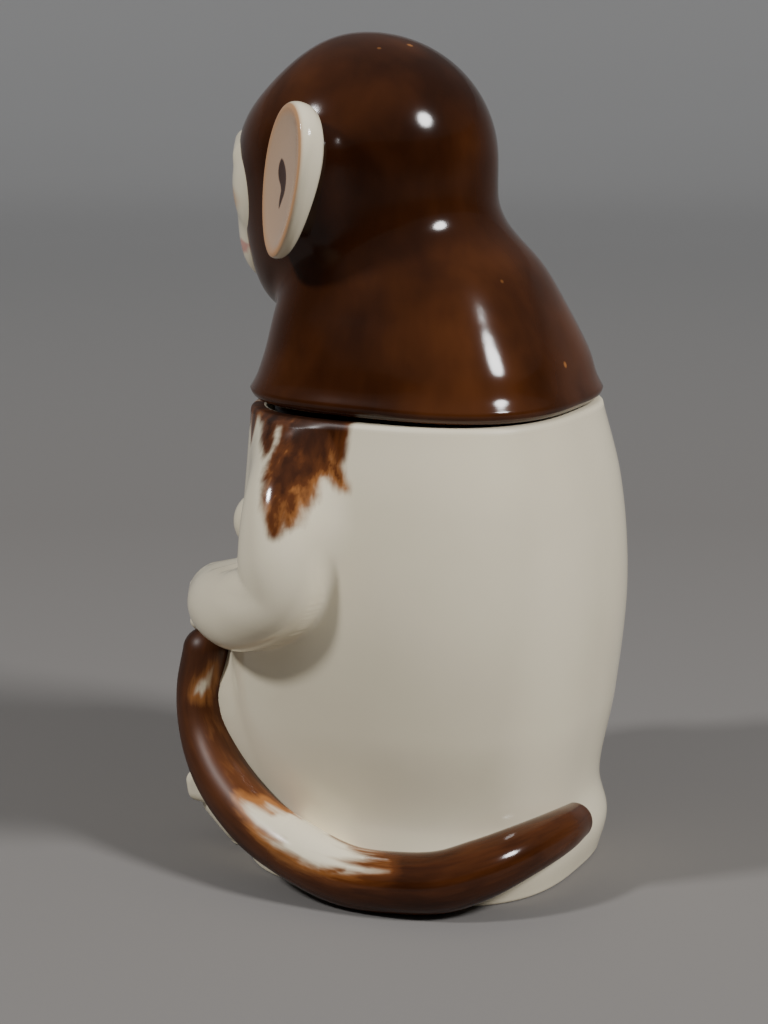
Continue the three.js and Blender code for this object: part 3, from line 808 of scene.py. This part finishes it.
def tailPaint(tree, place, white):
    run, cosRound, sinRound = (attributeValue(tree, name) for name in ("run", "cosRound", "sinRound"))
    lengthwise = addNode(
        tree, "CombineXYZ", X=times(tree, run, tail["streakRun"]),
        Y=times(tree, cosRound, tail["streakRound"]), Z=times(tree, sinRound, tail["streakRound"]),
    )
    marks = placeGroup(tree, brushMarks, Stroke=lengthwise.outputs[0], Place=place, Streak_Scale=1.3)
    edge = placeGroup(
        tree, featheredEdge, Distance=attributeValue(tree, "brown"), Streaks=marks["Streaks"],
        Reach=2.5, Softness=2.8,
    )
    # The upper end is laid on thinner and duller, most of all along its inner side
    upperEnd = fade(tree, run, *tail["upperEnd"])
    inner = times(tree, mathNode(tree, "SUBTRACT", tail["innerFrom"], sinRound), upperEnd)
    thinness = plus(tree, marks["Thinness"], times(tree, edge["Thin"], tail["edgeThinning"]))
    brown = brownColour(tree, plus(tree, thinness, times(tree, inner, tail["innerThinning"])))
    duller = plus(tree, times(tree, upperEnd, tail["upperDullness"]), glaze["roughness"])
    return {"Base Color": mixColour(tree, edge["Mask"], white, brown), "Roughness": duller}


finishPiece(tailPiece(), newGlaze("tail_glaze", tailPaint, shine=0.32), "jar", "brown_glaze", "tail")

# Lid: cape and head in one casting, with the collar below

lid = {
    "gapBehind": 0.3,
    "frontRise": 1.5,
    "capeTop": 161.0,
    "capeEnd": 178.0,
    # the cape's line is smoothed with its height drawn out to this many millimetres
    "capeSpan": 45.0,
    "capeSlant": 0.85,
    "shelf": 9.0,
    "shelfThickness": 4.0,
    # inset and lift of the rounded lower edge's rows, and how far above the seat the skin starts
    "edge": [(-0.15, 2.6), (0.1, 1.8), (0.55, 1.05), (1.2, 0.45), (2.0, 0.1), (3.0, 0.0), (4.5, 0.0)],
    "skinStart": 3.4,
    "columns": 340,
    # rows from the seat to the head's widest level, and over the crown
    "outerRows": (110, 55),
    "innerRows": (34, 14),
    "raysFrom": 62.0,
    "overShelf": 2.0,
    "wall": 4.0,
    "collarColumns": 240,
    "collarDrop": 8.0,
    "collarWall": 3.0,
    "slipFit": 0.8,
    "napeFillet": 20.0,
    "chinFillet": 2.0,
    # how far back the narrow join under the chin ends, and where the wide one is full
    "filletRun": (-42, 4),
    # heights between which the middle of the lid's rays moves forward from the cape to the head
    "leanLevels": (122, 166),
    "speckStrength": 0.8,
    # how far below the rim the painted shade on the collar, dark brown in the gap under the lid, starts and
    # is full, and how far that wanders
    "gapShadeDrop": (1.8, 0.8),
    "gapShadeWander": 2.0,
    # share of the cape's height, half depth, forward lean and squareness
    "capeLine": [
        (0.0, 41.0, 0, 2.8), (0.04, 41.0, 0, 2.8), (0.13, 39.5, 0, 2.7), (0.26, 38.0, 0, 2.6),
        (0.5, 34.6, 1.6, 2.45), (0.77, 29.9, 3.8, 2.25), (1.0, 22.0, 7.0, 2.1),
        (1.15, 15.0, 9.0, 2.1), (1.35, 7.5, 11.0, 2.1), (1.7, 1.0, 12.0, 2.1),
    ],
}
head = {
    "halfDepth": 32.3,
    "halfWidth": 30.2,
    "rise": 30.4,
    "height": 174.8,
    "forward": 16.5,
    "jawDrop": 39.5,
    "jawLean": 14.5,
    "browSlope": 0.085,
    # the head lies back under the face, so that it stays below the eye sockets
    "faceRecess": 3.2,
    "recessHalfWidth": 19.5,
    "recessHalfHeight": 17.5,
    "recessLevel": 169.0,
    "earLevel": 171.5,
    "earTurn": 45.0,
    "earLean": 0.22,
    "earRootOut": 27.4,
    "earRootBack": 1.6,
    "earRootJoin": 7.0,
    # half width, half depth and half height of the mound behind each ear
    "earRoot": (6.2, 5.2, 11.5),
}
capeRows = np.array(lid["capeLine"])[:, [1, 2, 0, 3]] * (1, 1, lid["capeSpan"], 1)
capeFine = smoothPath(capeRows, 120)


def seatLevel(y):
    slope = lid["frontRise"] / (2 * body["rimHalfDepth"])
    return body["rimHeight"] + lid["gapBehind"] + slope * (body["rimHalfDepth"] - y)


def seatRing(bearings, inset, lift=0.0, level=None):
    # The rim's oval moved inwards, lifted off the sloping seat or at one level
    halfDepth = body["rimHalfDepth"] - inset
    halfWidth = body["rimHalfDepth"] * body["widthShare"] - inset
    ring = ringAt(bearings, ovalReach(bearings, halfWidth, halfDepth, body["squareness"]), 0.0)
    ring[:, 2] = seatLevel(ring[:, 1]) + lift if level is None else level
    return ring


def capeField(points):
    # Level distance to an oval that shrinks and leans forward with the height, times the slant
    x, y, z = points.T
    seat = seatLevel(y)
    rise = (z - seat) / (lid["capeTop"] - seat) * lid["capeSpan"]
    halfDepth, lean, power = (np.interp(rise, capeFine[:, 2], capeFine[:, k]) for k in (0, 1, 3))
    reach = ovalReach(np.arctan2(y + lean, x), halfDepth * body["widthShare"], halfDepth, power)
    return np.maximum((np.hypot(x, y + lean) - reach) * lid["capeSlant"], z - lid["capeEnd"])


def ellipsoidField(points, middle, sizes):
    # About the distance, from the place a in half sizes: |a| * (|a| - 1) / |a / half sizes|
    a = (points - middle) / sizes
    size = np.linalg.norm(a, axis=1)
    return size * (size - 1) / np.maximum(np.linalg.norm(a / sizes, axis=1), 1e-6)


def headField(points):
    # Distance to a ball above its widest level and to a forward-leaning half egg below it
    x, y, z = points.T
    drop = head["height"] - z
    reach = np.where(drop < 0, head["rise"], head["jawDrop"])
    turn = drop / reach
    lean = head["jawLean"] * np.clip(turn, 0, 1.3) ** 2.5
    a = np.stack([x / head["halfWidth"], (y + head["forward"] + lean) / head["halfDepth"], turn], 1)
    b = a / np.stack([np.full(len(x), head["halfWidth"]), np.full(len(x), head["halfDepth"]), reach], 1)
    size = np.linalg.norm(a, axis=1)
    # The brow slopes: it is cut down by browSlope halfway from the front to the top
    forward, up = (np.clip(-a[:, k] / np.maximum(size, 1e-6), 0, 1) for k in (1, 2))
    size = size * (1 + head["browSlope"] * (2 * forward * up) ** 3)
    aside = np.hypot(x / head["recessHalfWidth"], (z - head["recessLevel"]) / head["recessHalfHeight"])
    recess = head["faceRecess"] * step(1.0, 0.8, aside) * step(0, -10, y + head["forward"])
    return size * (size - 1) / np.maximum(np.linalg.norm(b, axis=1), 1e-6) + recess


def earAxes(side):
    # The way that an ear faces, and the level way across it
    turn = math.radians(head["earTurn"])
    facing = np.array([side * math.cos(turn), -math.sin(turn), 0])
    across = np.array([side * math.sin(turn), math.cos(turn), 0])
    return facing, across


def earRootField(points):
    # Low mounds that the ears are set on
    mounds = []
    for side in (-1, 1):
        facing, across = earAxes(side)
        local = points - (side * head["earRootOut"], head["earRootBack"] - head["forward"], head["earLevel"])
        up = local[:, 2]
        local = np.stack([local @ across - head["earLean"] * up, local @ facing, up], 1)
        mounds.append(ellipsoidField(local, (0, 0, 0), head["earRoot"]))
    return np.minimum(*mounds)


def lidField(points):
    # The join is wide behind and at the sides and closes to a crease under the chin
    narrow, wide = lid["chinFillet"], lid["napeFillet"]
    width = narrow + (wide - narrow) * step(*lid["filletRun"], points[:, 1])
    hood = smoothMin(headField(points), earRootField(points), head["earRootJoin"], 3)
    return smoothMin(capeField(points), hood, width, 3)


def lidRays(rowCount, crownCount, bearings):
    # Rays run level from a centre line that leans forward, and fan out over the crown
    share = np.linspace(0, 1, rowCount)[:, None]
    seat = seatLevel(np.sin(bearings) * body["rimHalfDepth"]) + lid["skinStart"]
    height = seat + (head["height"] - seat) * share
    lean = -head["forward"] * step(*lid["leanLevels"], height)
    origins = np.stack([np.zeros_like(height), lean, height], -1)
    lift = np.linspace(0, np.pi / 2, crownCount + 1)[:-1][:, None]
    fan = ringAt(bearings, np.cos(lift), np.sin(lift))
    level = np.broadcast_to(fan[0], origins.shape)
    top = np.broadcast_to((0, -head["forward"], head["height"]), fan[1:].shape)
    return np.concatenate([origins, top]), np.concatenate([level, fan[1:]])


def lidPiece():
    bearings = np.linspace(-np.pi, np.pi, lid["columns"] // coarser, endpoint=False)
    origins, directions = lidRays(*(count // coarser for count in lid["outerRows"]), bearings)
    outside = meetSurface(origins, directions, lid["raysFrom"], lidField)[::-1]
    innerRows, crownRows = lid["innerRows"]
    origins, directions = lidRays(innerRows, crownRows, bearings)
    ceiling = seatLevel(origins[:innerRows, :, 1]) + lid["shelfThickness"] + lid["overShelf"]
    origins[:innerRows, :, 2] = np.maximum(origins[:innerRows, :, 2], ceiling)
    # The hollow ends a wall's thickness inside the outer surface
    inside = meetSurface(
        origins, directions, 1.0, lambda points: lidField(points) + lid["wall"],
        stride=0.8, near=0.02, span=(0.2, 70),
    )
    shelf, shelfTop = lid["shelf"], lid["shelfThickness"]
    under = lid["edge"] + [(shelf - 0.6, 0.0), (shelf, 0.6), (shelf, shelfTop)]
    under = np.stack([seatRing(bearings, inset, lift) for inset, lift in under])
    points = np.concatenate([outside, under, inside])
    # Brown on the outside and the underside: the rounded lower edge as glazed, and the shelf inside painted
    # brown as the shade in the gap under the lid
    outer = np.zeros(points.shape[:2])
    outer[:-len(inside)] = 1
    crown = np.array([0, -head["forward"], head["height"] + head["rise"]])
    return gridMesh("lid_skin", points, (crown, crown - (0, 0, lid["wall"])), {"outer": outer})


def collarPiece():
    bearings = np.linspace(-np.pi, np.pi, lid["collarColumns"] // coarser, endpoint=False)
    outside = body["wall"] + lid["slipFit"]
    inside = outside + lid["collarWall"]
    low = body["rimHeight"] - lid["collarDrop"]
    # inset and height above the lower edge, from the outside over the rounded edge to the inside
    section = [
        (outside, 1.5), (outside + 0.25, 0.6), (outside + 0.8, 0.1), (outside + 1.3, 0),
        (inside - 0.9, 0), (inside - 0.3, 0.3), (inside, 1.0),
    ]
    rings = [seatRing(bearings, inset, level=low + height) for inset, height in section]
    rings = [seatRing(bearings, outside, -0.3), *rings, seatRing(bearings, inside, -0.3)]
    return gridMesh("lid_collar_skin", np.stack(rings), ring=True)


def hoodPaint(tree, place, white):
    stroke = stretched(tree, place, scale=(90, 90, 38), turn=(0.12, 0.1, 0))
    marks = placeGroup(tree, brushMarks, Stroke=stroke, Place=place)
    dots = placeGroup(tree, specks, Place=place, Scale=70.0, Rarity=0.1, Size=0.065)
    brown = brownColour(tree, marks["Thinness"])
    brown = mixColour(tree, times(tree, dots["Mask"], lid["speckStrength"]), brown, glaze["amber"])
    return {"Base Color": mixColour(tree, attributeValue(tree, "outer"), white, brown)}


def collarPaintWithGapShade(tree, place, white):
    # White, with dark brown painted over its top as the shade in the gap under the lid
    mottle = placeGroup(tree, glazeSurface, Place=place)["Mottle"]
    height = addNode(tree, "SeparateXYZ", Vector=place).outputs["Z"]
    shadeWander = times(tree, plus(tree, mottle, -0.5), lid["gapShadeWander"] / 1000)
    low, high = ((body["rimHeight"] - below) / 1000 for below in lid["gapShadeDrop"])
    # Painted shade: the collar's top turns dark brown where it lies in the gap under the lid
    run = fade(tree, plus(tree, height, shadeWander), low, high)
    return {"Base Color": mixColour(tree, run, white, glaze["brownDark"])}


finishPiece(
    lidPiece(), newGlaze("brown_hood", hoodPaint, shine=0.3), "lid", "brown_glaze", "lid_cape", "head",
)
finishPiece(
    collarPiece(), newGlaze("collar_glaze", collarPaintWithGapShade, roughness=0.4, shine=0.3),
    "lid", "white_glaze", "lid_collar",
)

# Ears

ear = {
    "height": 37.0,
    "width": 27.6,
    "proud": 2.6,
    "backing": 4.8,
    "lowerBacking": 0.5,
    "dish": 1.4,
    "out": 35.0,
    "forward": 3.0,
    "tilt": 0.07,
    "taper": 0.14,
    "rows": 70,
    "columns": 128,
    # scale and share of the backing, of the proud rim and of the dish's depth below the rim
    "backRows": [(0.30, 1), (0.64, 0.97), (0.84, 0.8), (0.94, 0.5), (0.985, 0.15)],
    "rimRows": [(1.0, 0.3), (0.99, 0.72), (0.962, 0.94), (0.925, 1)],
    "dishRows": [(0.86, 0.15), (0.72, 0.55), (0.5, 0.86), (0.25, 0.97), (0.06, 1)],
    # across, up and size of the dabs of the painted fold, from its thick end
    "fold": [
        (-4.3, 4.0, 0.9), (-3.6, 2.4, 2.2), (-1.4, 0.2, 2.1), (-0.6, -2.1, 1.5),
        (-1.3, -4.3, 1.0), (-1.7, -6.2, 0.4),
    ],
    # scale at which the flesh turns to its edge's colour and then to white, and the fold's edge
    "fleshRim": (0.95, 0.8),
    "whiteRim": (1.0, 0.965),
    "foldEdge": (0.4, -0.3),
}


def earFold(u, v):
    # Signed distance to the dark comma painted in the ear: least of (distance to each dab - its size)
    dabs = smoothPath([(a, b, 0, size) for a, b, size in ear["fold"]], 24)
    return np.min([np.hypot(u - a, v - b) - size for a, b, _, size in dabs], axis=0)


def earPiece(side, name):
    # Ovals that grow from the back to the rim and shrink again into the dish, each
    # (scale * half width * cos * (1 + taper * sin), scale * half height * sin, out)
    facing, across = earAxes(side)
    middle = np.array([side * ear["out"], -head["forward"] - ear["forward"], head["earLevel"]])
    proud, backing, dish = ear["proud"], ear["backing"], ear["dish"]
    rows = [(scale, -share * backing, 0) for scale, share in ear["backRows"]]
    rows += [(scale, share * proud, 0) for scale, share in ear["rimRows"]]
    rows += [(scale, proud - share * dish, 0) for scale, share in ear["dishRows"]]
    profile = smoothPath(rows, ear["rows"])
    scale, ahead = profile[:, :1], profile[:, 1:2]
    turns = np.linspace(0, 2 * np.pi, ear["columns"], endpoint=False)
    v = scale * ear["height"] / 2 * np.sin(turns)
    u = scale * ear["width"] / 2 * np.cos(turns) * (1 + ear["taper"] * np.sin(turns))
    # The ear is thinner towards its lobe
    thinning = 1 - (1 - ear["lowerBacking"]) * step(0.6, -1.0, v / (ear["height"] / 2))
    ahead = ahead * np.where(ahead < 0, thinning, 1) - ear["tilt"] * v
    points = middle + (u + head["earLean"] * v)[..., None] * across
    points = points + ahead[..., None] * facing + v[..., None] * (0, 0, 1)
    innerSide = np.arange(len(scale))[:, None] >= np.argmax(scale)
    rim = np.where(innerSide, scale, 2 - scale) * np.ones_like(u)
    poles = middle - facing * backing, middle + facing * (proud - dish)
    return gridMesh(name, points, poles, {"rim": rim, "fold": np.where(innerSide, earFold(u, v), unpainted)})


def earPaint(tree, place, white):
    rim = attributeValue(tree, "rim")
    flesh = mixColour(tree, fade(tree, rim, *ear["fleshRim"]), glaze["fleshEdge"], glaze["flesh"])
    colour = mixColour(tree, fade(tree, rim, *ear["whiteRim"]), white, flesh)
    folded = fade(tree, attributeValue(tree, "fold"), *ear["foldEdge"])
    return {"Base Color": mixColour(tree, folded, colour, glaze["brown"])}


earGlaze = newGlaze("ear_glaze", earPaint, shine=0.3)
for side, name in ((1, "left_ear"), (-1, "right_ear")):
    finishPiece(earPiece(side, name + "_skin"), earGlaze, "lid", "ear_glaze", name)

# Face

face = {
    "halfWidth": 22.0,
    "halfHeight": 19.5,
    "proud": 11.9,
    "set": 21.0,
    "level": 169.0,
    "muzzleHalfWidth": 13.0,
    "muzzleHalfHeight": 11.0,
    "muzzleProud": 7.2,
    "muzzleSet": 25.6,
    "muzzleLevel": 154.5,
    "eyeSpread": 9.0,
    "eyeLevel": 171.6,
    # how far each lies behind the face's front, and its half width, half depth and half height
    "nose": (0.8, (3.6, 2.6, 5.0)),
    "noseLevel": 163.5,
    "socket": (0.6, (5.2, 2.4, 4.2)),
    "eye": (4.4, (4.0, 3.0, 3.1)),
    # points of a brow and of the mouth's groove: across, behind the face's front or the muzzle's
    # middle, level and radius
    "brow": [(3.0, 2.8, 177.6, 2.4), (9.5, 4.0, 178.8, 2.4), (15.5, 6.8, 176.0, 2.0)],
    "mouth": [(-8.5, -4.8, 152.6, 0.9), (0, -7.4, 151.6, 0.9), (8.5, -4.8, 152.6, 0.9)],
    # widths of the joins between them
    "muzzleJoin": 5.0,
    "noseJoin": 3.0,
    "browJoin": 3.0,
    "socketJoin": 2.0,
    "eyeJoin": 0.6,
    "mouthJoin": 1.2,
    # the cone of rays that finds the face, from inside the head
    "rings": 120,
    "columns": 260,
    "raysFrom": 45.0,
    "rayForward": 12.0,
    "rayLevel": 166.0,
    "raySpread": 96.0,
    # the painted marks are ovals of this length to their height, the lips an arched line
    "eyeLength": 1.25,
    "cheekLength": 1.6,
    "cheekOut": 15.0,
    "cheekLevel": 165.5,
    "lipLevel": 151.8,
    "lipArch": 0.01,
    "lipHalfWidth": 12.5,
    # mark, distances from it at which the paint is full and gone, strength and colour
    "marks": [
        ("cheek", 1.2, 4.2, 0.85, "fleshEdge"), ("eye", 3.2, 5.4, 0.55, "amber"),
        ("eye", 2.2, 2.6, 1.0, "brownThin"), ("eye", 1.1, 1.4, 1.0, "brownDark"),
        ("lip", 1.0, 2.3, 0.85, "pink"),
    ],
}


def faceField(points):
    middle = -head["forward"] - face["set"]
    front = middle - face["proud"]
    muzzle = -head["forward"] - face["muzzleSet"]
    sizes = (face["halfWidth"], face["proud"], face["halfHeight"])
    best = ellipsoidField(points, (0, middle, face["level"]), sizes)
    sizes = (face["muzzleHalfWidth"], face["muzzleProud"], face["muzzleHalfHeight"])
    snout = ellipsoidField(points, (0, muzzle, face["muzzleLevel"]), sizes)
    best = smoothMin(best, snout, face["muzzleJoin"])
    behind, sizes = face["nose"]
    nose = ellipsoidField(points, (0, front + behind, face["noseLevel"]), sizes)
    best = smoothMin(best, nose, face["noseJoin"])
    for side in (-1, 1):
        brow = [(side * x, front + behind, z, radius) for x, behind, z, radius in face["brow"]]
        best = smoothMin(best, chainDistance(points, np.array(brow)), face["browJoin"])
        socket, eye = (
            ellipsoidField(points, (side * face["eyeSpread"], front + behind, face["eyeLevel"]), sizes)
            for behind, sizes in (face["socket"], face["eye"])
        )
        best = smoothMin(-smoothMin(-best, socket, face["socketJoin"]), eye, face["eyeJoin"])
    mouth = [(x, muzzle + behind, z, radius) for x, behind, z, radius in face["mouth"]]
    return -smoothMin(-best, chainDistance(points, np.array(mouth)), face["mouthJoin"])


def facePiece():
    # Rays fan out to the front from a point inside the head, over a cone that ends under the hood
    rings, columns = face["rings"] // coarser, face["columns"] // coarser
    middle = np.array([0, -head["forward"] - face["rayForward"], face["rayLevel"]])
    turns = np.linspace(0, 2 * np.pi, columns, endpoint=False)
    spread = np.linspace(0, 1, rings + 1)[1:][:, None] * np.radians(face["raySpread"])
    directions = ringAt(turns, np.sin(spread), -np.cos(spread))[..., [0, 2, 1]]
    front = meetSurface(middle, directions, face["raysFrom"], faceField)
    tip = meetSurface(middle, np.array([[0.0, -1.0, 0.0]]), face["raysFrom"], faceField)
    # Behind the last ring the skin closes inside the head
    back = front[-1:] * (0.5, 1, 0.5) + np.array([0, 3.0, 0.5 * face["level"]])
    points = np.concatenate([front, back])
    x, z = points[..., 0], points[..., 2]
    aside = np.abs(x)
    eye = np.hypot((aside - face["eyeSpread"]) / face["eyeLength"], z - face["eyeLevel"])
    cheek = np.hypot((aside - face["cheekOut"]) / face["cheekLength"], z - face["cheekLevel"])
    lip = np.abs(z - face["lipLevel"] - face["lipArch"] * x * x) + np.maximum(aside - face["lipHalfWidth"], 0)
    poles = tip, middle + (0, 10.0, 0)
    return gridMesh("face_skin", points, poles, {"eye": eye, "lip": lip, "cheek": cheek})


def facePaint(tree, place, colour):
    for mark, full, gone, strength, paint in face["marks"]:
        painted = times(tree, fade(tree, attributeValue(tree, mark), gone, full), strength)
        colour = mixColour(tree, painted, colour, glaze[paint])
    return {"Base Color": colour}


finishPiece(facePiece(), newGlaze("face_glaze", facePaint), "lid", "white_glaze", "face", "muzzle")

# Floor, backdrop and light

studio = {
    "floor": (0.212, 0.200, 0.191, 1),
    "farFloorPaintedLight": (0.5, 0.5, 0.503, 1),
    "nearFloorPaintedShade": (0.09, 0.086, 0.083, 1),
    "floorRoughness": 0.9,
    "floorReach": 2.6,
    # reach and rise of the floor, both as shares of the floor's reach
    "floorLine": [(0, 0), (0.3, 0), (0.6, 0), (0.75, 0.012), (0.88, 0.07), (0.96, 0.19), (1.0, 0.4)],
    "sky": (0.98, 0.99, 1.0, 1),
    "horizonStrength": 0.06,
    "zenithStrength": 0.24,
    # name, bearing, rise, distance, size and power
    "lamps": [("rightLamp", 79, 37, 1.8, 0.38, 28.5), ("leftLamp", -38, 40, 1.8, 0.23, 19.0)],
    "lampMiddle": 0.1,
}


def makeFloor():
    # A wide round floor that curves up at its edge, painted lighter away from the camera as painted light on
    # the far backdrop, and darker near it as painted shade
    line = smoothPath([(reach, rise, 0) for reach, rise in studio["floorLine"]], 60) * studio["floorReach"]
    turns = np.linspace(0, 2 * np.pi, 96, endpoint=False)
    points = ringAt(turns, line[1:, :1], np.maximum(line[1:, 1:2], 0))
    made = gridMesh("floor", points, (np.zeros(3), None), scaled=np.asarray)
    material, tree, shader, place = newMaterial("floor_paper")
    turn = math.radians(camera["azimuth"])
    away = addNode(tree, "VectorMath", {"operation": "DOT_PRODUCT"}, Vector=place)
    away.inputs[1].default_value = (-math.sin(turn), math.cos(turn), 0)
    share = mathNode(tree, "DIVIDE", away.outputs["Value"], studio["floorReach"])
    # Painted light on the floor's far side and painted shade on the camera's side
    farPaintedLight = rampNode(tree, share, [(0.15, 0.0), (0.5, 0.5), (0.8, 1.0)])
    nearPaintedShade = rampNode(tree, times(tree, share, -1.0), [(0.1, 0.0), (0.3, 1.0)])
    shaded = mixColour(tree, farPaintedLight, studio["floor"], studio["farFloorPaintedLight"])
    tree.links.new(mixColour(tree, nearPaintedShade, shaded, studio["nearFloorPaintedShade"]), shader.inputs["Base Color"])
    shader.inputs["Roughness"].default_value = studio["floorRoughness"]
    made.data.materials.append(material)


def makeSky():
    # A plain sky that is brighter overhead
    world = bpy.data.worlds.new("studio")
    world.use_nodes = True
    tree = world.node_tree
    place = tree.nodes.new("ShaderNodeTexCoord").outputs["Generated"]
    upward = addNode(tree, "SeparateXYZ", Vector=place).outputs["Z"]
    strength = fade(tree, upward, 0.0, 1.0, studio["horizonStrength"], studio["zenithStrength"], "LINEAR")
    sky = tree.nodes["Background"]
    sky.inputs["Color"].default_value = studio["sky"]
    tree.links.new(strength, sky.inputs["Strength"])
    bpy.context.scene.world = world


def makeLight(name, bearing, rise, distance, size, power):
    # A round soft light at a bearing and angle of rise about a point inside the jar
    turn, lift = math.radians(bearing), math.radians(rise)
    toLight = Vector((math.cos(turn) * math.cos(lift), math.sin(turn) * math.cos(lift), math.sin(lift)))
    data = bpy.data.lights.new(name, "AREA")
    data.shape = "DISK"
    data.size = size
    data.energy = power
    made = addObject(name, data)
    made.location = toLight * distance + Vector((0, 0, studio["lampMiddle"]))
    made.rotation_mode = "QUATERNION"
    made.rotation_quaternion = toLight.to_track_quat("Z", "Y")


makeFloor()
makeSky()
for lamp in studio["lamps"]:
    makeLight(*lamp)
